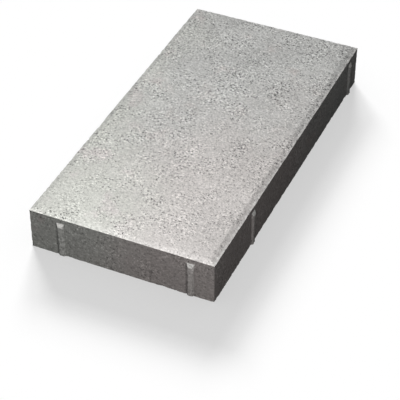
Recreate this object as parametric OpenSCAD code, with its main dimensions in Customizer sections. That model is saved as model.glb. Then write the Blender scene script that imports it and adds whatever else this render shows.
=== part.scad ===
// Concrete paving slab, pressed in a mould with its walking face up.
// It lies with its length along Y and its bed face on z = 0.
// Eight spacer nibs are cast on its sides. They keep the joint open when slabs are laid
// tight, and a half turn of the slab brings it onto itself, so it has no wrong way round.

/* [Laid size] */
// Length that one slab takes up when laid, one joint included
pitch_l = 500; // [300:5:800]
// Width that one slab takes up when laid, one joint included
pitch_w = 250; // [200:5:600]
// Thickness from the bed face to the walking face
slab_t = 60; // [40:1:100]

/* [Edges] */
// Width of the bevel round the walking face
bevel_w = 8; // [1:0.5:15]
// Drop of that bevel, from the walking face to the arris
bevel_drop = 2; // [0.5:0.25:6]
// Radius of the four upright corners
corner_r = 1; // [0.5:0.5:8]

/* [Spacer nibs] */
// Depth of a nib, which is also the width of the joint
nib_depth = 2.5; // [1:0.25:6]
// Width of a nib where it leaves the side
nib_root_w = 11; // [8:0.5:20]
// Width of the flat that touches the next slab
nib_face_w = 6; // [2:0.5:7]
// Distance from the arris down to the top of a nib
nib_below_arris = 7; // [3:0.5:15]
// Height of the slope that leads the next slab past a nib
nib_lead_h = 5; // [1:0.5:15]
// Distance from a corner to the middle of the nib beside it
nib_from_corner = 31; // [25:1:45]
// Room between two nibs that pass each other in one joint
nib_clearance = 0.5; // [0:0.25:2]

/* [Hidden] */
concrete = "#c2c0bb";

// The joint is shared between neighbours, so the body is one nib depth short of its pitch
body_l = pitch_l - nib_depth;
body_w = pitch_w - nib_depth;

// Heights on the side
arris_z = slab_t - bevel_drop;
nib_top_z = arris_z - nib_below_arris;
nib_full_z = nib_top_z - nib_lead_h;

// Depth to which a nib's root is buried in the body, so that the two fuse
nib_bury = 5;

// Seen from outside, each side has a nib near its right-hand corner and one further in on
// its left-hand half. Facing nibs must be one step apart, whichever way the slab is turned.
nib_step = nib_root_w + nib_clearance;
short_right = body_w / 2 - nib_from_corner;
short_left = nib_step - short_right;
long_right = body_l / 2 - nib_from_corner;
// On a long side the left-hand nib also clears the slabs of a course laid half a slab over
long_left = -(pitch_l / 4 + nib_step / 2);

// Plan of the body, with round upright corners
module body_plan() {
    inner_l = body_l - 2 * corner_r;
    inner_w = body_w - 2 * corner_r;
    square([inner_w, body_l], center = true);
    square([body_w, inner_l], center = true);
    for (x = [-1, 1], y = [-1, 1])
        translate([x * inner_w / 2, y * inner_l / 2]) circle(r = corner_r, $fn = 48);
}

// Cross-section of the body: upright sides, and a bevel at each top edge
module bevelled_section(across) {
    half = across / 2;
    polygon([
        [-half, 0],
        [half, 0],
        [half, arris_z],
        [half - bevel_w, slab_t],
        [bevel_w - half, slab_t],
        [-half, arris_z]
    ]);
}

// The bevels of the long and the short sides meet in a mitre at each corner
module body() {
    intersection() {
        linear_extrude(slab_t) body_plan();
        rotate([90, 0, 0]) linear_extrude(2 * body_l, center = true) bevelled_section(body_w);
        rotate([90, 0, 90]) linear_extrude(2 * body_w, center = true) bevelled_section(body_l);
    }
}

// One nib on a side that faces -Y: tapered in plan, upright, and sloped back to the side
// at its top. It runs down to the bed face, so that the slab can be pushed out of the mould.
module spacer_nib() {
    intersection() {
        linear_extrude(nib_top_z) polygon([
            [-nib_root_w / 2, nib_bury],
            [-nib_root_w / 2, 0],
            [-nib_face_w / 2, -nib_depth],
            [nib_face_w / 2, -nib_depth],
            [nib_root_w / 2, 0],
            [nib_root_w / 2, nib_bury]
        ]);
        rotate([90, 0, 90]) linear_extrude(nib_root_w, center = true) polygon([
            [nib_bury, 0],
            [-nib_depth, 0],
            [-nib_depth, nib_full_z],
            [0, nib_top_z],
            [nib_bury, nib_top_z]
        ]);
    }
}

// The two nibs of one side, at their places along it
module nib_pair(side_y, left, right) {
    for (x = [left, right])
        translate([x, -side_y, 0]) spacer_nib();
}

module slab() {
    color(concrete) union() {
        body();
        for (turn = [0, 180]) {
            rotate(turn) nib_pair(body_l / 2, short_left, short_right);
            rotate(turn + 90) nib_pair(body_w / 2, long_left, long_right);
        }
    }
}

slab();
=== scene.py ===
# %% [markdown]
# # A pressed concrete paving slab
#
# The slab is one block of concrete, 500 x 250 x 60 mm when it is laid. A press shakes and
# squeezes an almost dry mix into a steel mould and pushes the block out at once. Everything
# that can be seen on it comes from that: a flat walking face with a shallow bevel, upright
# sides dragged along the mould's wall, and small ribs, the spacer nibs, that keep the joint
# open. This lesson takes the bare block from the workshop's model, roughens it as real
# concrete is rough, colours it, and lights it on a white floor.

# %% Load the workshop's model
import math
import random

import bpy
import numpy as np
from mathutils import Matrix, Vector, kdtree, noise


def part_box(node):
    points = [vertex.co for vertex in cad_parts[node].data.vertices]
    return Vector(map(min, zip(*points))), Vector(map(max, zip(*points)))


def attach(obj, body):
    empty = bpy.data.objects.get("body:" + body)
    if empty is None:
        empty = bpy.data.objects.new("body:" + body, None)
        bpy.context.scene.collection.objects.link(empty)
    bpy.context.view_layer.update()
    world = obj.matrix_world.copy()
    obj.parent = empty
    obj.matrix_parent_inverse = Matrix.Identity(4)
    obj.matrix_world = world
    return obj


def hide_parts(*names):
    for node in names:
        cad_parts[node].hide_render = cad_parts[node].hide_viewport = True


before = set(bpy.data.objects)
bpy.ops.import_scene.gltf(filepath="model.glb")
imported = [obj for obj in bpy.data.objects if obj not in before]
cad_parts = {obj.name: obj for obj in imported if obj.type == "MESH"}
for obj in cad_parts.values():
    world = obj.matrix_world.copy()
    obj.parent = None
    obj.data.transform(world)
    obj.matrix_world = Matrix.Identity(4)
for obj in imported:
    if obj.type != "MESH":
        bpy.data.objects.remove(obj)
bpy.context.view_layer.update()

MM = 0.001
low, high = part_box("slab")
print("the block measures", [round(size / MM, 1) for size in high - low], "mm")

# %% [markdown]
# ## The sizes that the finish needs
#
# The model's box runs over the nibs, so the block's own sides stand one nib depth inside it.
# The bevel is the only other thing that the finish has to know about, because its lower edge,
# the arris, is where such a slab gets knocked.

# %% Sizes of the block
NIB_DEPTH = 2.5 * MM
BEVEL_DROP = 2.0 * MM
BEVEL_WIDTH = 8.0 * MM

half_width = high.x - NIB_DEPTH
half_length = high.y - NIB_DEPTH
top_height = high.z
arris_height = top_height - BEVEL_DROP
print("arris at", round(arris_height / MM, 1), "mm, sides at", round(half_width / MM, 2), "mm")

# %% [markdown]
# ## A body of clay
#
# The workshop's model has a few dozen large flat faces. Relief needs many small ones. They
# could be cut by subdividing, but long thin triangles subdivide into more long thin
# triangles. A voxel remesh wraps the same shape in an even net instead, here with a knot
# every millimetre. The net cuts corners a little, so a shrinkwrap then pulls every knot back
# on to the workshop's surface, which leaves a rounding of about half a step. Both are
# modifiers; reading the evaluated mesh applies them.

# %% Wrap the block in an even net
NET = 1.0 * MM


def applied(piece, kind, **settings):
    """Puts one modifier on a piece, applies it and takes it off again."""
    modifier = piece.modifiers.new(kind.lower(), kind)
    for name, value in settings.items():
        setattr(modifier, name, value)
    shaped = piece.evaluated_get(bpy.context.evaluated_depsgraph_get())
    mesh = bpy.data.meshes.new_from_object(shaped)
    piece.modifiers.clear()
    old = piece.data
    piece.data = mesh
    bpy.data.meshes.remove(old)


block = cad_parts["slab"]
slab = bpy.data.objects.new("paving_slab", block.data.copy())
bpy.context.scene.collection.objects.link(slab)
slab.data.materials.clear()
applied(slab, "REMESH", mode="VOXEL", voxel_size=NET)
applied(slab, "SHRINKWRAP", target=block, wrap_method="NEAREST_SURFACEPOINT")
print("the net has", len(slab.data.vertices), "knots")

# %% Read the net into arrays
FLAT = 0.8

knots = len(slab.data.vertices)
place = np.empty(knots * 3, np.float32)
outward = np.empty(knots * 3, np.float32)
slab.data.vertices.foreach_get("co", place)
slab.data.vertices.foreach_get("normal", outward)
place = place.reshape(-1, 3).astype(float)
outward = outward.reshape(-1, 3).astype(float)

on_top = outward[:, 2] > FLAT
on_bed = outward[:, 2] < -FLAT
on_side = ~(on_top | on_bed)
print("knots on top, sides, bed:", on_top.sum(), on_side.sum(), on_bed.sum())

# %% [markdown]
# ## Crisp arrises
#
# Dry pressed concrete keeps a crisp arris, crisper than half a step of the net. A finer net
# would cost four times the knots for half the step. Instead the knots nearest to the line
# where two faces meet are moved on to that line: the bevel's upper edge, the arris below it,
# and the foot on the bed. They also get one shared outward direction, half way between the
# two faces. Otherwise the relief would push neighbours on the same line in two directions
# and fold the mesh.

# %% Move the nearest knots on to the arris and the foot
SNAP = 0.62 * NET
BEVEL_LEAN, ARRIS_LEAN, FOOT_LEAN = 0.99, 0.7, -0.7

to_side = half_width - np.abs(place[:, 0])
to_end = half_length - np.abs(place[:, 1])
to_top = place[:, 2] - top_height
to_arris = place[:, 2] - arris_height
to_floor = place[:, 2]


def crisp(distance, axis, line, from_edge, height, lean):
    """Snaps knots near an edge line on to it; lean is how far up they will face."""
    near_line = (np.abs(distance) < SNAP) & (np.abs(from_edge) < SNAP)
    side = np.sign(place[near_line, axis])
    place[near_line, axis] = side * line
    place[near_line, 2] = height
    outward[near_line] = 0.0
    outward[near_line, axis] = side * math.sqrt(1.0 - lean ** 2)
    outward[near_line, 2] = lean
    return int(near_line.sum())


moved = 0
for inset, from_edge, height, lean in (
    (BEVEL_WIDTH, to_top, top_height, BEVEL_LEAN),
    (0.0, to_arris, arris_height, ARRIS_LEAN),
    (0.0, to_floor, 0.0, FOOT_LEAN),
):
    for axis, half, to_face in ((0, half_width, to_side), (1, half_length, to_end)):
        moved += crisp(to_face - inset, axis, half - inset, from_edge, height, lean)
print("knots on an edge line:", moved)

# %% [markdown]
# ## Relief is pressed inwards
#
# All relief on a moulded block lies below the mould's surface: the mould cannot leave
# anything proud. So every effect here gives a depth in millimetres, the depths are added up,
# and each knot moves inwards by the sum. Blender's noise functions give the same values on
# every run, so the slab is always the same slab.
#
# The walking face and the sides have fine dimples over a slow wave, because the stamp and the
# mould's wall press them smooth. The sides scrape along the mould, so their dimples are drawn
# out upwards. The bed has nothing to smooth it, and its dimples are twice as large and deep.

# %% The grain of each face
ROUGHNESS_FALL, FINER, LAYERS = 1.0, 2.0, 2
DIMPLE_MEAN, DIMPLE_SWING = 0.30, 0.9
DRAWN_UP = 0.7


def rough(points, size):
    """Noise from about -1 to 1 with bumps of a size in mm."""
    scaled = (points / (size * MM)).tolist()
    return np.array([noise.fractal(point, ROUGHNESS_FALL, FINER, LAYERS) for point in scaled])


def dimples(points, size, reach):
    """Dimples of a size, down to reach (both in mm), with the mould's surface between."""
    return reach * np.clip(DIMPLE_MEAN + DIMPLE_SWING * rough(points, size), 0.0, 1.0)


depth = np.zeros(knots)
depth[on_top] += dimples(place[on_top], size=4.2, reach=0.34)
depth[on_top] += dimples(place[on_top], size=38.0, reach=0.12)
depth[on_side] += dimples(place[on_side] * [1.0, 1.0, DRAWN_UP], size=4.0, reach=0.34)
depth[on_side] += dimples(place[on_side], size=30.0, reach=0.12)
depth[on_bed] += dimples(place[on_bed], size=8.0, reach=0.70)
print("grain goes down to", round(depth.max(), 2), "mm")

# %% [markdown]
# ## Worn arrises and a painted light line
#
# The arris is the first thing to suffer when slabs are stacked and laid. How close a knot is
# to the nearest edge of the block can be worked out from its place alone: the distance to
# two faces at once. That closeness is kept on the mesh as an attribute, because the material
# uses it later to lighten lines along the edges. On the right side that light line is strong,
# a painted highlight along the arris; the other sides have only a trace of it, for wear. It
# lies on the bevel, a millimetre in from the arris.

# %% How close each knot is to an edge
ARRIS_REACH, FOOT_REACH = 1.6 * MM, 2.0 * MM
LIGHT_REACH, LIGHT_INSET = 1.4 * MM, 1.2 * MM
WEAK_WEAR = 0.15


def closeness(one, other, reach):
    """1 on the line where two faces meet, falling to 0 over the reach."""
    return np.exp(-((np.hypot(one, other) / reach) ** 2))


def round_the_block(to_line, reach):
    """Closeness to an edge line that runs round the block at one height."""
    return np.maximum(closeness(to_side, to_line, reach), closeness(to_end, to_line, reach))


foot = round_the_block(to_floor, FOOT_REACH)
edge = np.maximum(round_the_block(to_arris, ARRIS_REACH), closeness(to_side, to_end, ARRIS_REACH))
on_right = place[:, 0] > 0.0
# Painted highlight: the light line is strong on the right side only.
light_line_strength = np.where(on_right, 1.0, WEAK_WEAR)
lightened = np.maximum(
    light_line_strength * closeness(to_side - LIGHT_INSET, to_arris, LIGHT_REACH),
    WEAK_WEAR * closeness(to_end - LIGHT_INSET, to_arris, LIGHT_REACH),
)
print("knots near an edge:", int((np.maximum(edge, foot) > 0.3).sum()))

# %% Nick the edges
NICK_SIZE = 6.0
LEFT_WHOLE = 0.12
EDGE_LOSS, FOOT_LOSS = 1.2, 1.0
TRACE = 0.02

worn = np.maximum(edge, foot) > TRACE
ragged = np.clip(rough(place[worn], NICK_SIZE) - LEFT_WHOLE, 0.0, 1.0 - LEFT_WHOLE)
depth[worn] += edge[worn] * EDGE_LOSS * ragged
depth[worn] += foot[worn] * FOOT_LOSS * ragged
print("deepest nick", round(depth[worn].max(), 2), "mm")

# %% [markdown]
# The nibs' sloping heads are painted pale, partly for the wear from the next slab and partly
# as painted highlight where they face up to the light. The rib below is painted a little
# paler than the side that it stands on. A knot belongs to a head if it faces partly upwards
# well below the arris, and to a rib if it stands proud of the block's sides. The long sides'
# heads are the paler ones. Every head is palest at its top, so its paleness is written as a
# least value and what comes on top of that.

# %% Where the nibs are painted pale
HEAD_BELOW_ARRIS = 3.0 * MM
HEAD_LOW, HEAD_RISE = arris_height - 12.0 * MM, 5.0 * MM
LOOKS_UP = 0.25
PROUD = 0.4 * MM
LONG_HEAD, SHORT_HEAD = (0.9, 0.6), (0.62, 0.12)
RIB_PALE, LONG_BELOW_HEAD, SHORT_BELOW_HEAD = 0.14, 0.05, 0.14
FADE = 3.0 * MM

on_long = to_side < to_end
is_head = on_side & (outward[:, 2] > LOOKS_UP) & (to_arris < -HEAD_BELOW_ARRIS)
is_proud = (to_side < -PROUD) | (to_end < -PROUD)
below_head = np.clip(HEAD_LOW - place[:, 2], 0.0, None)
pale_below_head = np.where(on_long, LONG_BELOW_HEAD, SHORT_BELOW_HEAD) * np.exp(-below_head / FADE)
rub_and_highlight = np.where(is_proud, RIB_PALE + pale_below_head, 0.0)

# Painted highlight on the heads: palest at the top and on the long sides.
up_head = np.clip((place[:, 2] - HEAD_LOW) / HEAD_RISE, 0.0, 1.0)
long_head_pale, short_head_pale = (least + more * up_head for least, more in (LONG_HEAD, SHORT_HEAD))
rub_and_highlight[is_head] = np.where(on_long, long_head_pale, short_head_pale)[is_head]
depth[is_proud] += dimples(place[is_proud], size=3.0, reach=0.6)
print("rubbed knots:", int(is_head.sum()), "on heads,", int(is_proud.sum()), "on ribs")

# %% [markdown]
# The corner where a rib meets the side gets a shallow groove and painted shade. How deep a
# knot lies in that corner follows from how far the nearest knot of a rib is. Seen from
# outside, the corner on the left of a short side's rib is the deep and dark one, a painted
# shadow beside the rib. All other corners get only a little painted shade.

# %% Where the corner shade is painted
CORNER_WIDTH = 1.7 * MM
WEAK_CORNER = 0.35
GROOVE = 0.35

zero = np.zeros(knots)
face_right = np.where(
    on_long[:, None],
    np.stack([zero, np.sign(place[:, 0])], 1),
    np.stack([-np.sign(place[:, 1]), zero], 1),
)


def finder(points):
    """A search tree that finds the points near a place quickly."""
    search = kdtree.KDTree(len(points))
    for index, point in enumerate(points.tolist()):
        search.insert(point, index)
    search.balance()
    return search


ribs = finder(place[is_proud])
# Painted shade in the corners beside the ribs, with a shallow groove under it.
corner_groove_and_shade = np.zeros(knots)
beside = on_side & ~is_proud & (place[:, 2] < HEAD_LOW + FADE)
beside &= (np.abs(to_side) < PROUD) | (np.abs(to_end) < PROUD)
for index in np.flatnonzero(beside).tolist():
    nearest, _, gap = ribs.find(place[index].tolist())
    on_left = np.dot(np.array(nearest.xy) - place[index, :2], face_right[index]) > 0.0
    strength = 1.0 if on_left and not on_long[index] else WEAK_CORNER
    corner_groove_and_shade[index] = strength * math.exp(-((gap / CORNER_WIDTH) ** 2))
depth += GROOVE * corner_groove_and_shade
print("knots in dark corners:", int((corner_groove_and_shade > 0.3).sum()))

# %% [markdown]
# The flanks of a rib differ as well. The left one of a short side's rib gets painted shade,
# nearly as dark as the corner beside it, and a flank that faces right is painted paler than
# one that faces left, a painted highlight.

# %% The ribs' flanks
LEFT_FLANK = 0.75
TURNED_LEFT = -0.3
FLANK_SHARE, LEAST_FLANK, MOST_FLANK = 0.5, 0.6, 1.2

turned = (outward[:, :2] * face_right).sum(1)
left_flank = is_proud & ~on_long & (place[:, 2] < HEAD_LOW) & (turned < TURNED_LEFT)
# Painted shade on the left flanks, painted highlight on flanks that face right.
corner_groove_and_shade[left_flank] = LEFT_FLANK
rub_and_highlight[is_proud] *= np.clip(1.0 + FLANK_SHARE * turned[is_proud], LEAST_FLANK, MOST_FLANK)
print("knots on dark flanks:", int(left_flank.sum()))

# %% [markdown]
# The bevel is marked too. The long bevels get painted shade, a shade darker than the ends.
# On the right the painted shade runs on a millimetre past the bevel.

# %% Where the bevels are
SHADE_RUNS_PAST = 1.0 * MM

bevelled = on_top & ((to_side < BEVEL_WIDTH) | (to_end < BEVEL_WIDTH))
shade_ends = BEVEL_WIDTH + np.where(on_right, SHADE_RUNS_PAST, 0.0)
# The long bevels carry painted shade.
painted_bevel_shade = on_top & (to_side < shade_ends) & on_long
print("knots on bevels:", int(bevelled.sum()), "on scraped strips:", int(painted_bevel_shade.sum()))

# %% [markdown]
# One bottom corner has been set down hard and is knocked round. It is a soft hollow centred
# on that corner.

# %% The knocked corner
CORNER_REACH = 5.0 * MM
CORNER_LOSS = 0.4

struck = np.array([half_width, -half_length, 0.0])
away = np.linalg.norm(place - struck, axis=1)
depth += CORNER_LOSS * np.exp(-((away / CORNER_REACH) ** 2))
print("knots in the knocked corner:", int((away < CORNER_REACH).sum()))

# %% [markdown]
# ## Air holes
#
# Almost dry concrete traps air. The stamp and the mould's wall close most of the holes, so
# the walking face and the sides keep small shallow ones, while the bed keeps wider and deeper
# ones. Noise could mark them, but then their size and number can't be set apart from each
# other. Here each hole is placed one by one: a random knot is its centre, and a search tree
# finds the knots around it quickly. Slow noise decides where holes are common, so that they
# gather in patches. They are a little commoner at the far end of the walking face.

# %% Punch the holes
RARE, GATHERED, COMMONER_FAR = 0.22, 1.6, 0.22
NARROWEST = 0.55
STEEPNESS = 1.5
HEAD_RELIEF = 0.3

dice = random.Random(7)
around = finder(place)
hollow = np.zeros(knots)


def punch(where, count, radii, depths, patch, far_more=0.0):
    """Presses holes into the knots of one face. Radii, depths and patch size are in mm.
    Far_more makes holes commoner towards the far end."""
    knots_here = np.flatnonzero(where)
    made = 0
    while made < count:
        centre = int(dice.choice(knots_here))
        spot = place[centre]
        crowd = noise.noise((spot / (patch * MM)).tolist())
        if dice.random() > RARE + GATHERED * crowd + far_more * spot[1] / half_length:
            continue
        size = dice.random() ** 2
        radius = radii[0] + (radii[1] - radii[0]) * size
        deep = depths[0] + (depths[1] - depths[0]) * size
        narrow = dice.uniform(NARROWEST, 1.0) ** -2
        turn = dice.uniform(0.0, math.pi)
        for point, index, _ in around.find_range(spot.tolist(), radius * MM):
            offset = (point - Vector(spot)) / (radius * MM)
            along = offset.x * math.cos(turn) + offset.y * math.sin(turn)
            square = offset.length_squared * narrow - (narrow - 1.0) * along ** 2
            span = min(1.0, math.sqrt(max(0.0, square)))
            hollow[index] = max(hollow[index], deep * (1.0 - span ** 2) ** STEEPNESS)
        made += 1


punch(on_top, 1300, radii=(0.9, 2.3), depths=(0.3, 0.9), patch=60.0, far_more=COMMONER_FAR)
punch(on_side, 420, radii=(0.8, 2.0), depths=(0.3, 0.8), patch=45.0)
punch(on_bed, 260, radii=(1.5, 4.5), depths=(0.5, 1.5), patch=60.0)
hollow[is_head] = 0.0
depth[is_head] *= HEAD_RELIEF
depth += hollow
print("holes touch", int((hollow > 0.1).sum()), "knots")

# %% [markdown]
# ## Press the relief in
#
# The knots move against their outward direction. A last clamp keeps every knot inside the
# block that came from the workshop, so that the finish never makes the slab bigger. The net
# is then thinned where it is nearly flat: a fine net in flat places costs memory and shows
# nothing. The attributes ride through the thinning.

# %% Move the knots and thin the net
TRIANGLES = 194_000
CRISP_ANGLE = math.radians(50.0)
FOOT_SHARE = 0.7


def inside(points):
    """Keeps points inside the block and lays them out flat for the mesh."""
    return np.clip(points, np.array(low), np.array(high)).astype(np.float32).ravel()


slab.data.vertices.foreach_set("co", inside(place - outward * (depth * MM)[:, None]))

marks = {"hollow": hollow, "edge": np.maximum(lightened, FOOT_SHARE * foot), "rub_and_highlight": rub_and_highlight,
         "bevel": bevelled, "painted_bevel_shade": painted_bevel_shade, "corner_groove_and_shade": corner_groove_and_shade}
for name, values in marks.items():
    attribute = slab.data.attributes.new(name, "FLOAT", "POINT")
    attribute.data.foreach_set("value", values.astype(np.float32))
slab.data.update()

applied(slab, "DECIMATE", ratio=TRIANGLES / (2 * len(slab.data.polygons)))
thinned = np.empty(len(slab.data.vertices) * 3, np.float32)
slab.data.vertices.foreach_get("co", thinned)
slab.data.vertices.foreach_set("co", inside(thinned.reshape(-1, 3)))
slab.data.shade_smooth()
slab.data.set_sharp_from_angle(angle=CRISP_ANGLE)
print("the finished mesh has", len(slab.data.vertices), "knots")

# %% [markdown]
# ## Shared effects for the materials
#
# The walking face, the sides and the bed face are the same concrete with a different skin.
# What they share is built once as node groups, with sockets for what differs, and each
# material sets its own values. A small helper adds a node, sets its sockets and links it.
#
# The values of a noise texture bunch round one half. A soft ramp between two values near
# there, such as 0.36 and 0.66, spreads them out again, and that is how most masks are made.

# %% A helper for building node trees
class Tree:
    """Adds nodes to a node tree and links them by name."""

    def __init__(self, tree):
        self.tree = tree

    def add(self, kind, settings=None, **inputs):
        """A new node. A socket's name is written with _ where it has a space."""
        node = self.tree.nodes.new(kind)
        for name, value in (settings or {}).items():
            setattr(node, name, value)
        for name, value in inputs.items():
            self.put(node, name.replace("_", " "), value)
        return node

    def put(self, node, name, value):
        """Links a socket to an output, or sets it to a plain value."""
        socket = node.inputs[int(name)] if name.isdigit() else node.inputs[name]
        if isinstance(value, bpy.types.NodeSocket):
            self.tree.links.new(value, socket)
        else:
            socket.default_value = value

    def calc(self, operation, one, other=0.0, clamp=False):
        node = self.add("ShaderNodeMath", {"operation": operation, "use_clamp": clamp})
        self.put(node, "0", one)
        self.put(node, "1", other)
        return node.outputs[0]

    def ramp(self, value, start, end, at_start=0.0, at_end=1.0):
        """Turns values from start to end softly into values from at_start to at_end."""
        node = self.add("ShaderNodeMapRange", {"interpolation_type": "SMOOTHSTEP"})
        for name, number in (("Value", value), ("From Min", start), ("From Max", end),
                             ("To Min", at_start), ("To Max", at_end)):
            self.put(node, name, number)
        return node.outputs["Result"]

    def mix(self, share, one, other, blend="MIX"):
        node = self.add("ShaderNodeMix", {"data_type": "RGBA", "blend_type": blend})
        self.put(node, "0", share)
        self.put(node, "6", one)
        self.put(node, "7", other)
        return node.outputs[2]

    def vector(self, operation, one, other):
        """A sum, product or dot product of two vectors."""
        node = self.add("ShaderNodeVectorMath", {"operation": operation})
        self.put(node, "0", one)
        self.put(node, "1", other)
        return node.outputs["Value" if operation == "DOT_PRODUCT" else "Vector"]

    def mark(self, name):
        """The value that the mesh carries under a name."""
        return self.add("ShaderNodeAttribute", {"attribute_name": name}).outputs["Fac"]


def group(name, inputs, outputs):
    """A new node group with named sockets: (kind, name, value) in, (kind, name) out."""
    made = bpy.data.node_groups.new(name, "ShaderNodeTree")
    for kind, label, value in inputs:
        socket = made.interface.new_socket(label, in_out="INPUT", socket_type=kind)
        socket.default_value = value
    for kind, label in outputs:
        made.interface.new_socket(label, in_out="OUTPUT", socket_type=kind)
    tree = Tree(made)
    return made, tree, tree.add("NodeGroupInput").outputs, tree.add("NodeGroupOutput")


FLOAT, COLOUR = "NodeSocketFloat", "NodeSocketColor"
print("marks that the materials can read:", ", ".join(marks))

# %% [markdown]
# ### Sand grain
#
# Sand grains sit side by side, each with its own shade, and the cement between them lies a
# little lower. A Voronoi texture gives exactly that: cells with a random colour each, and
# the distance to the cell's middle, which rounds each grain off. Most grains are nearly the
# colour of the paste and a few are much lighter or darker, so the random number is bent by a
# power before it is used. Two sizes of sand lie over each other, and soft noise gathers the
# grains in clumps.
#
# A slower noise makes some patches open and speckled and leaves others closed and smooth. The
# stamp also presses one end of the slab harder than the other, so the contrast can grow along
# the slab. Gaps between grains are darker than any grain is light, and taking away a part of
# the square makes the speckle lean to the dark side in the same way. On the sides the mould
# tears the cement skin off some grains, which then show pale, so there it leans the other way.

# %% Group: sand grain
SECOND_SAND, SECOND_SHARE = 2.3, 0.6
CLUMP_SAND, CLUMP_SHARE = 0.7, 1.8
PATCHES_PER_METRE = 28.0
CLOSED, OPEN = 0.63, 1.42
NEAR_END, FAR_END = -0.22, 0.10
GRAIN_RIM, GRAIN_HEART = 0.75, 0.15
COARSE_LUMP, FINE_LUMP = 0.35, 0.15

sand, tree, given, result = group(
    "Sand Grain",
    [(FLOAT, "Grain Size", 2.4), (FLOAT, "Contrast", 0.5), (FLOAT, "Stretch", 1.0),
     (FLOAT, "Near Contrast", 1.0), (FLOAT, "Far Contrast", 1.0), (FLOAT, "Dark Lean", 0.25)],
    [(FLOAT, "Shade"), (FLOAT, "Height")],
)
coordinate = tree.add("ShaderNodeTexCoord").outputs["Object"]
stretch = tree.add("ShaderNodeCombineXYZ", X=1.0, Y=1.0, Z=given["Stretch"]).outputs[0]
where = tree.vector("MULTIPLY", coordinate, stretch)
per_metre = tree.calc("DIVIDE", 1000.0, given["Grain Size"])


def grains(fineness):
    """Signed shade from -1 to 1 and roundness from 0 to 1 of one size of grain."""
    scale = tree.calc("MULTIPLY", per_metre, fineness)
    cells = tree.add("ShaderNodeTexVoronoi", {"feature": "F1"}, Vector=where, Scale=scale)
    lot = tree.add("ShaderNodeSeparateColor", Color=cells.outputs["Color"]).outputs[0]
    signed = tree.calc("MULTIPLY", tree.calc("SUBTRACT", lot, 0.5), 2.0)
    bent = tree.calc("MULTIPLY", signed, tree.calc("ABSOLUTE", signed))
    roundness = tree.ramp(cells.outputs["Distance"], GRAIN_RIM, GRAIN_HEART)
    return tree.calc("MULTIPLY", bent, roundness), roundness


coarse, coarse_round = grains(1.0)
fine, fine_round = grains(SECOND_SAND)
clump = tree.add("ShaderNodeTexNoise", Vector=where,
                 Scale=tree.calc("MULTIPLY", per_metre, CLUMP_SAND),
                 Detail=3.0, Roughness=0.6).outputs[0]
clumped = tree.calc("MULTIPLY", tree.calc("SUBTRACT", clump, 0.5), CLUMP_SHARE)
both = tree.calc("ADD", coarse, tree.calc("MULTIPLY", fine, SECOND_SHARE))
mixed = tree.calc("ADD", both, clumped)
open_patch = tree.add("ShaderNodeTexNoise", Vector=where, Scale=PATCHES_PER_METRE,
                      Detail=2.0).outputs[0]
mixed = tree.calc("MULTIPLY", mixed, tree.ramp(open_patch, 0.36, 0.66, CLOSED, OPEN))
along = tree.add("ShaderNodeSeparateXYZ", Vector=coordinate).outputs["Y"]
open_end = tree.ramp(along, NEAR_END, FAR_END, given["Near Contrast"], given["Far Contrast"])
mixed = tree.calc("MULTIPLY", mixed, open_end)
squared = tree.calc("MULTIPLY", mixed, mixed)
mixed = tree.calc("SUBTRACT", mixed, tree.calc("MULTIPLY", squared, given["Dark Lean"]))
tree.put(result, "Shade", tree.calc("ADD", tree.calc("MULTIPLY", mixed, given["Contrast"]), 1.0))
lumps = tree.calc("ADD", tree.calc("MULTIPLY", coarse_round, COARSE_LUMP),
                  tree.calc("MULTIPLY", fine_round, FINE_LUMP))
tree.put(result, "Height", tree.calc("ADD", lumps, clump))
print("sand grain takes", len(sand.nodes), "nodes")

# %% [markdown]
# ### Cement clouds
#
# Cement paste dries unevenly, so one part of a slab leans to green and another to pink, too
# little to name a colour but enough that a plain grey looks wrong. Noise alone would put the
# tints anywhere. Here each tint grows in one direction across the slab, as it does when the
# mix in the mould is a little wetter on one side, and noise only bends its border. Small warm
# spots lie over that, and a last slow noise makes patches lighter and darker.

# %% Group: cement clouds
BEND = 1.7
TENTH_METRE = 0.1

clouds, tree, given, result = group(
    "Cement Clouds",
    [(FLOAT, "Patch Size", 120.0), (FLOAT, "Tone", 0.1), (COLOUR, "Cool", (1, 1, 1, 1)),
     (COLOUR, "Green", (1, 1, 1, 1)), (COLOUR, "Warm", (1, 1, 1, 1))],
    [(COLOUR, "Tint"), (FLOAT, "Shade")],
)
where = tree.add("ShaderNodeTexCoord").outputs["Object"]
per_metre = tree.calc("DIVIDE", 1000.0, given["Patch Size"])


def slow_noise(shift, scale, detail, roughness):
    """Broad soft noise, shifted so that no two masks agree."""
    moved = tree.vector("ADD", where, (shift, 2 * shift, 0.0))
    return tree.add("ShaderNodeTexNoise", Vector=moved, Scale=scale, Detail=detail,
                    Roughness=roughness).outputs[0]


def patches(shift, quick, start, end):
    """A soft mask of broad patches."""
    soft = slow_noise(shift, tree.calc("MULTIPLY", per_metre, quick), 3.0, 0.55)
    return tree.ramp(soft, start, end)


def drift(across, along, shift, start, end):
    """A soft mask that rises in one direction, with its border bent by a slow noise."""
    bend = tree.calc("SUBTRACT", slow_noise(shift, per_metre, 2.0, 0.5), 0.5)
    slope = tree.vector("DOT_PRODUCT", where, (across / TENTH_METRE, along / TENTH_METRE, 0.0))
    return tree.ramp(tree.calc("ADD", slope, tree.calc("MULTIPLY", bend, BEND)), start, end)


tint = tree.mix(drift(0.65, -0.76, 4.1, -0.8, 1.2), given["Cool"], given["Warm"])
tint = tree.mix(drift(-1.0, -0.25, 1.7, 0.1, 1.5), tint, given["Green"])
tint = tree.mix(patches(9.1, 3.5, 0.56, 0.74), tint, given["Warm"])
tree.put(result, "Tint", tint)
tone = tree.calc("SUBTRACT", patches(7.3, 1.6, 0.25, 0.75), 0.5)
tree.put(result, "Shade", tree.calc("ADD", tree.calc("MULTIPLY", tone, given["Tone"]), 1.0))
print("cement clouds take", len(clouds.nodes), "nodes")

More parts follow.
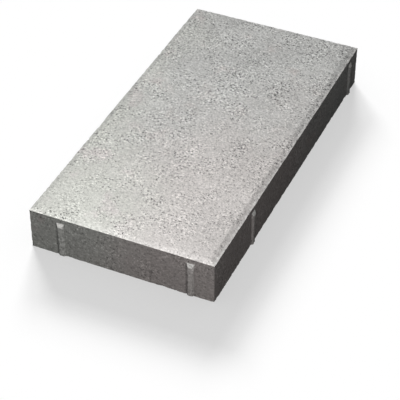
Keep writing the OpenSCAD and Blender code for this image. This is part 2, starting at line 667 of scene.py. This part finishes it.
# %% [markdown]
# ### Pinholes
#
# Holes under a millimetre are too fine for the net of the mesh, so they are left to the
# material. A Voronoi texture at a few millimetres gives one dot per cell, and the cell's
# random colour switches most of the dots off. Soft noise decides how many stay on, so that
# pinholes gather in patches as the larger holes do. The concrete darkens the dots as painted
# shade in the holes.

# %% Group: pinholes
FEW, MANY = 0.5, 1.4
SMALLEST, SOFT_RIM = 0.4, 0.4

pinholes, tree, given, result = group(
    "Pinholes",
    [(FLOAT, "Spacing", 4.0), (FLOAT, "Radius", 0.2), (FLOAT, "Share", 0.5)],
    [(FLOAT, "Mask")],
)
where = tree.add("ShaderNodeTexCoord").outputs["Object"]
per_metre = tree.calc("DIVIDE", 1000.0, given["Spacing"])
cells = tree.add("ShaderNodeTexVoronoi", {"feature": "F1"}, Vector=where, Scale=per_metre)
lot = tree.add("ShaderNodeSeparateColor", Color=cells.outputs["Color"])
crowd = tree.add("ShaderNodeTexNoise", Vector=where, Scale=PATCHES_PER_METRE,
                 Detail=2.0).outputs[0]
share = tree.calc("MULTIPLY", given["Share"], tree.ramp(crowd, 0.38, 0.62, FEW, MANY))
shown = tree.calc("LESS_THAN", lot.outputs[0], share)
size = tree.calc("MULTIPLY", given["Radius"], tree.calc("ADD", lot.outputs[1], SMALLEST))
dot = tree.ramp(cells.outputs["Distance"], size, tree.calc("MULTIPLY", size, SOFT_RIM))
tree.put(result, "Mask", tree.calc("MULTIPLY", dot, shown))
print("pinholes take", len(pinholes.nodes), "nodes")

# %% [markdown]
# ### Worn places
# Two attributes come from the mesh: the light line along the edges, and where a nib is
# painted pale. Both are partly wear and partly painted highlight. Noise breaks the light line
# along the edge up, so that it comes and goes. The nibs' heads are paler more evenly, so the
# same noise only touches them lightly.
# Noise breaks the worn line along the edge up, so that it comes and goes as it does on a real
# slab. The nibs' heads are rubbed more evenly, so the same noise only touches them lightly.

# %% Group: wear and painted highlight
BREAKS_PER_METRE = 220.0
LEAST_LINE, NEARLY_ALL = 0.35, 0.8

wear_and_highlight, tree, given, result = group(
    "Wear And Highlight", [(FLOAT, "Edge", 0.5), (FLOAT, "Rubbed", 0.5)], [(FLOAT, "Mask")]
)
where = tree.add("ShaderNodeTexCoord").outputs["Object"]
broken = tree.add("ShaderNodeTexNoise", Vector=where, Scale=BREAKS_PER_METRE,
                  Detail=2.0).outputs[0]
patchy = tree.ramp(broken, 0.36, 0.58, LEAST_LINE, 1.0)
even = tree.ramp(broken, 0.36, 0.58, NEARLY_ALL, 1.0)
edge_wear_and_highlight = tree.calc("MULTIPLY", tree.calc("MULTIPLY", tree.mark("edge"), given["Edge"]), patchy)
head_wear_and_highlight = tree.calc("MULTIPLY", tree.calc("MULTIPLY", tree.mark("rub_and_highlight"), given["Rubbed"]), even)
tree.put(result, "Mask", tree.calc("MAXIMUM", edge_wear_and_highlight, head_wear_and_highlight, clamp=True))
print("worn places take", len(wear_and_highlight.nodes), "nodes")

# %% [markdown]
# ## One recipe, three skins
#
# A function mixes the concrete: it starts from a base colour, lays the clouds and the grain
# over it, darkens holes with painted shade and lightens the pale places, which are partly
# wear and partly painted highlight. Where they are pale, the speckle and the pinholes fade.
# It also paints shade on the long bevels and in the corners by the ribs. Grain and pinholes
# also feed a Bump node, whose distance is in metres: half a millimetre between the highest
# and the lowest grain is what the eye expects. Concrete is rough, and rougher still inside
# its holes. Only on the bevels, which a polished steel edge has pressed, the pale grains that
# stand highest are smoother and catch some light.

# %% Mix the concrete
LONG_BEVEL_SHADE, CORNER_PAINTED_SHADE, PIN_DARKNESS = 0.81, 0.5, 0.55
PIN_DEPTH = 1.2
DUST_AND_HIGHLIGHT = (0.84, 0.83, 0.80, 1.0)
LIGHTENED_FROM, LIGHTENED_TO, SPECKLE_LOST = 0.1, 0.5, 0.7
SHALLOW, DEEP = 0.05, 0.6
PALE_FROM, PALE_TO = 0.75, 1.2
ROUGHEST, ROUGHEST_FROM = 0.97, 0.5


def shade(tree, colour, *values):
    """Multiplies a colour by plain values one after another."""
    for value in values:
        grey = tree.add("ShaderNodeCombineColor", Red=value, Green=value, Blue=value)
        colour = tree.mix(1.0, colour, grey.outputs[0], "MULTIPLY")
    return colour


def concrete(name, colour, grain, cloud, pin_share, hole_shade, edge, rub_and_highlight, bump, gloss,
             shine):
    """One skin. Bump is in mm, and gloss is the roughness of the face and of its bevels."""
    material = bpy.data.materials.new(name)
    material.use_nodes = True
    tree = Tree(material.node_tree)
    skin = material.node_tree.nodes["Principled BSDF"]

    def use(made, **inputs):
        return tree.add("ShaderNodeGroup", {"node_tree": made}, **inputs).outputs

    paste = use(clouds, **cloud)
    specks = use(sand, **grain)
    pins = use(pinholes, Share=pin_share)["Mask"]
    light = use(wear_and_highlight, Edge=edge, Rubbed=rub_and_highlight)["Mask"]
    hollow_here = tree.mark("hollow")

    # Painted shade in the pinholes and in the holes.
    pins = tree.calc("MULTIPLY", pins, tree.ramp(light, LIGHTENED_FROM, LIGHTENED_TO, 1.0, 0.0))
    pin_shade = tree.calc("SUBTRACT", 1.0, tree.calc("MULTIPLY", pins, PIN_DARKNESS))
    speckle_kept = tree.calc("SUBTRACT", 1.0, tree.calc("MULTIPLY", light, SPECKLE_LOST))
    speckle = tree.calc("MULTIPLY", tree.calc("SUBTRACT", specks["Shade"], 1.0), speckle_kept)
    speckle = tree.calc("ADD", speckle, 1.0)
    holes = tree.ramp(hollow_here, SHALLOW, DEEP, 1.0, hole_shade)
    # Painted shade on the long bevels.
    bevel_darkening = tree.ramp(tree.mark("painted_bevel_shade"), 0.0, 1.0, 1.0, LONG_BEVEL_SHADE)
    # Painted shade in the corners beside the ribs and on their left flanks.
    corner_shade = tree.ramp(tree.mark("corner_groove_and_shade"), 0.0, 1.0, 1.0, CORNER_PAINTED_SHADE)
    tinted = tree.mix(1.0, colour, paste["Tint"], "MULTIPLY")
    # Pale places: wear, and painted highlight on the right arris and on the nibs.
    pale = tree.mix(light, tinted, DUST_AND_HIGHLIGHT)
    tree.put(skin, "Base Color", shade(tree, pale, paste["Shade"], speckle, holes, pin_shade,
                                       bevel_darkening, corner_shade))

    height = tree.calc("SUBTRACT", specks["Height"], tree.calc("MULTIPLY", pins, PIN_DEPTH))
    relief = tree.add("ShaderNodeBump", Strength=1.0, Distance=bump * MM, Height=height)
    tree.put(skin, "Normal", relief.outputs[0])
    standing = tree.ramp(specks["Shade"], PALE_FROM, PALE_TO)
    polished = tree.calc("MULTIPLY", tree.mark("bevel"), standing)
    open_face = tree.ramp(hollow_here, 0.0, ROUGHEST_FROM, gloss[0], ROUGHEST)
    tree.put(skin, "Roughness", tree.ramp(polished, 0.0, 1.0, open_face, gloss[1]))
    skin.inputs["Specular IOR Level"].default_value = shine
    print(name, "takes", len(material.node_tree.nodes), "nodes")
    return material

# %% [markdown]
# The walking face is the palest, because the stamp brings cement and water to it, and it has
# the strongest speckle. The sides are far darker, partly darker cement and partly painted
# shade, and have hardly any shine. The bed stood on a board while it set, so it is open and
# coarse.

# %% The three skins
TINTS = {"Cool": (1.0, 1.0, 1.0, 1.0), "Green": (0.99, 1.0, 0.955, 1.0),
         "Warm": (1.035, 0.985, 0.98, 1.0)}
DEEP_TINTS = {"Cool": (1.0, 1.0, 1.0, 1.0), "Green": (0.99, 1.0, 0.965, 1.0),
              "Warm": (1.07, 0.975, 0.965, 1.0)}

walking_skin = concrete(
    "concrete_walking_face", (0.541, 0.540, 0.526, 1.0),
    {"Grain_Size": 2.1, "Contrast": 0.82, "Stretch": 1.0, "Near_Contrast": 0.8,
     "Far_Contrast": 1.25},
    {"Tone": 0.14, **TINTS}, pin_share=0.6, hole_shade=0.58, edge=0.95, rub_and_highlight=0.5,
    bump=0.5, gloss=(0.72, 0.42), shine=0.5)
# The sides' dark colour is partly painted shade.
shaded_side_skin = concrete(
    "concrete_side_painted_shade", (0.220, 0.219, 0.213, 1.0),
    {"Grain_Size": 2.3, "Contrast": 0.54, "Stretch": 0.85, "Dark_Lean": -0.1},
    {"Tone": 0.10, **DEEP_TINTS}, pin_share=0.2, hole_shade=0.9, edge=0.05, rub_and_highlight=0.9,
    bump=0.5, gloss=(0.85, 0.85), shine=0.06)
bed_skin = concrete(
    "concrete_bed_face", (0.37, 0.368, 0.358, 1.0),
    {"Grain_Size": 3.2, "Contrast": 0.50, "Stretch": 1.0},
    {"Tone": 0.2, **TINTS}, pin_share=0.8, hole_shade=0.5, edge=0.2, rub_and_highlight=0.5,
    bump=0.6, gloss=(0.9, 0.9), shine=0.3)

# %% [markdown]
# ## Dress the slab
#
# Each face of the mesh gets the skin of the surface that it belongs to. Height alone can't
# tell, because the arris is chipped: near it, a face that looks up belongs to the walking
# face and a steep one to the side. The bed is what looks down at the very bottom.

# %% Give each face its skin
ABOVE_BORDER, CHIPPED, UNDER = 0.1 * MM, 1.5 * MM, 3.0 * MM
STEEP = 0.5

for material in (walking_skin, shaded_side_skin, bed_skin):
    slab.data.materials.append(material)

faces = len(slab.data.polygons)
middle = np.empty(faces * 3, np.float32)
facing = np.empty(faces * 3, np.float32)
slab.data.polygons.foreach_get("center", middle)
slab.data.polygons.foreach_get("normal", facing)
height = middle.reshape(-1, 3)[:, 2]
upward = facing.reshape(-1, 3)[:, 2]
skin = np.ones(faces, np.int32)
skin[height > arris_height + ABOVE_BORDER] = 0
skin[(height > arris_height - CHIPPED) & (upward > STEEP)] = 0
skin[(height < UNDER) & (upward < -STEEP)] = 2
slab.data.polygons.foreach_set("material_index", skin)
print("faces of each skin:", np.bincount(skin).tolist())

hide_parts("slab")
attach(slab, "root")

# %% [markdown]
# ## A white floor that keeps the shadow
#
# A catalogue picture shows the slab on plain white with a soft shadow. To the camera the
# floor glows, and what light falls on it lifts it to full white; where the slab stops that
# light the glow alone is left, a pale grey. To light that bounces on to the slab the floor
# is a dull grey, or the sides would lose their depth. The Light Path node tells the two
# cases apart.

# %% The floor
FLOOR_SIZE = 30.0
FLOOR_GLOW = 0.53
FLOOR_SEEN = (0.457, 0.457, 0.457, 1.0)
FLOOR_BOUNCE = (0.08, 0.08, 0.08, 1.0)


def seen_and_felt(tree, seen, felt, output):
    """One shader for rays that see the stage directly, in a reflection or through glass,
    and another for the light that bounces on to the slab."""
    path = tree.add("ShaderNodeLightPath").outputs
    direct = tree.calc("MAXIMUM", path["Is Camera Ray"], path["Is Glossy Ray"])
    direct = tree.calc("MAXIMUM", direct, path["Is Transmission Ray"])
    choice = tree.add("ShaderNodeMixShader", Fac=direct)
    tree.put(choice, "1", felt)
    tree.put(choice, "2", seen)
    tree.add(output, Surface=choice.outputs[0])


bpy.ops.mesh.primitive_plane_add(size=FLOOR_SIZE, location=(0.0, 0.0, 0.0))
floor = bpy.context.object
floor.name = "floor"
paper = bpy.data.materials.new("white_floor")
paper.use_nodes = True
paper.node_tree.nodes.clear()
tree = Tree(paper.node_tree)
bright_floor = tree.add("ShaderNodeAddShader")
tree.put(bright_floor, "0", tree.add("ShaderNodeBsdfDiffuse", Color=FLOOR_SEEN).outputs[0])
tree.put(bright_floor, "1", tree.add("ShaderNodeEmission", Color=(1, 1, 1, 1),
                                     Strength=FLOOR_GLOW).outputs[0])
dull = tree.add("ShaderNodeBsdfDiffuse", Color=FLOOR_BOUNCE).outputs[0]
seen_and_felt(tree, bright_floor.outputs[0], dull, "ShaderNodeOutputMaterial")
floor.data.materials.append(paper)
print("the floor is", FLOOR_SIZE, "m wide")

# %% The air around it
SKY = 0.03

world = bpy.data.worlds.new("studio")
bpy.context.scene.world = world
world.use_nodes = True
world.node_tree.nodes.clear()
tree = Tree(world.node_tree)
white = tree.add("ShaderNodeBackground", Color=(1, 1, 1, 1), Strength=1.0).outputs[0]
dim = tree.add("ShaderNodeBackground", Color=(0.97, 0.985, 1.0, 1.0), Strength=SKY).outputs[0]
seen_and_felt(tree, white, dim, "ShaderNodeOutputWorld")
print("the air around gives", SKY, "of the light of a white sky")

# %% [markdown]
# ## Soft lamps
#
# Three soft boxes light the slab. The large key light stands to the left, a little behind
# the slab: it rakes across the walking face, so the grain shows, and it leaves the right
# side dark. A small one stands in front and close, so the near end of the top is brighter
# than the far end. A fill light from the front right opens up the sides. A lamp's light
# thins with the square of its distance, so each lamp's power is worked out from how much
# light should arrive: 1 shows a colour just as it is written.
#
# The shadow on the floor has lamps of its own, three suns. Two stand low behind the slab, a
# little apart, and throw a long shadow with a soft double edge. The third fills nearly the
# whole sky above, and its shadow only hugs the slab's foot. Light linking lets a lamp light
# chosen things only, and so the shadow can be set without changing the light on the slab.

# %% The lamps
SUN_DISTANCE = 3.0


def only(name, piece):
    """A collection that holds one piece, for a lamp that lights nothing else."""
    chosen = bpy.data.collections.new(name)
    chosen.objects.link(piece)
    return chosen


for_slab = only("lit_slab", slab)
for_floor = only("lit_floor", floor)


def aimed(name, light, direction, distance, receivers):
    """Hangs a lamp in a direction from the slab, turned to it."""
    lamp = bpy.data.objects.new(name, light)
    lamp.location = Vector(direction).normalized() * distance
    lamp.rotation_euler = (-lamp.location).to_track_quat("-Z", "Y").to_euler()
    bpy.context.scene.collection.objects.link(lamp)
    lamp.light_linking.receiver_collection = receivers
    lamp.visible_camera = False
    print(name, "has a strength of", round(light.energy, 2))


def soft_box(name, direction, distance, size, arriving):
    """A round soft box on the slab alone, with its distance and size in metres."""
    light = bpy.data.lights.new(name, "AREA")
    light.shape = "DISK"
    light.size = size
    light.energy = arriving * math.pi ** 2 * distance ** 2
    aimed(name, light, direction, distance, for_slab)


def shadow_sun(name, direction, softness, arriving):
    """A sun on the floor alone; softness is its width in the sky in degrees."""
    sun = bpy.data.lights.new(name, "SUN")
    sun.angle = math.radians(softness)
    sun.energy = math.pi * arriving / Vector(direction).normalized().z
    aimed(name, sun, direction, SUN_DISTANCE, for_floor)


soft_box("key_light", (-0.55, 0.25, 0.80), distance=2.8, size=0.8, arriving=0.59)
soft_box("near_light", (-0.17, -0.67, 0.724), distance=0.62, size=0.25, arriving=0.288)
soft_box("fill_light", (0.314, -0.828, 0.464), distance=1.6, size=0.5, arriving=0.40)
shadow_sun("shadow_light_left", (-0.563, 0.681, 0.467), softness=15.5, arriving=0.40)
shadow_sun("shadow_light_right", (-0.348, 0.825, 0.444), softness=14.5, arriving=0.325)
shadow_sun("shadow_light_above", (-0.125, 0.18, 0.976), softness=118.0, arriving=0.275)

# %% [markdown]
# ## The camera
#
# A long lens from about two metres keeps the sides nearly parallel, as catalogue pictures
# do. The camera is set by how a photographer would say it: how far round, how high, how far
# away, and which way it is slid before the shot.

# %% The camera
AROUND, ABOVE, TILT = math.radians(24.19), math.radians(39.99), math.radians(0.12)
AWAY = 1950.0 * MM
SLID = (-6.4 * MM, -56.1 * MM)
LENS, SENSOR = 131.25, 36.0

back = Vector((math.sin(AROUND) * math.cos(ABOVE), -math.cos(AROUND) * math.cos(ABOVE),
               math.sin(ABOVE)))
level = Vector((math.cos(AROUND), math.sin(AROUND), 0.0))
upright = back.cross(level)
right = level * math.cos(TILT) + upright * math.sin(TILT)
up = upright * math.cos(TILT) - level * math.sin(TILT)
stand = back * AWAY + right * SLID[0] + up * SLID[1]
camera = bpy.data.objects.new("camera", bpy.data.cameras.new("camera"))
camera.data.lens = LENS
camera.data.sensor_width = SENSOR
camera.matrix_world = Matrix.Translation(stand) @ Matrix((right, up, back)).transposed().to_4x4()
bpy.context.scene.collection.objects.link(camera)
bpy.context.scene.camera = camera
bpy.context.scene.view_settings.view_transform = "Standard"
print("the camera stands", round(stand.length, 2), "m from the slab")
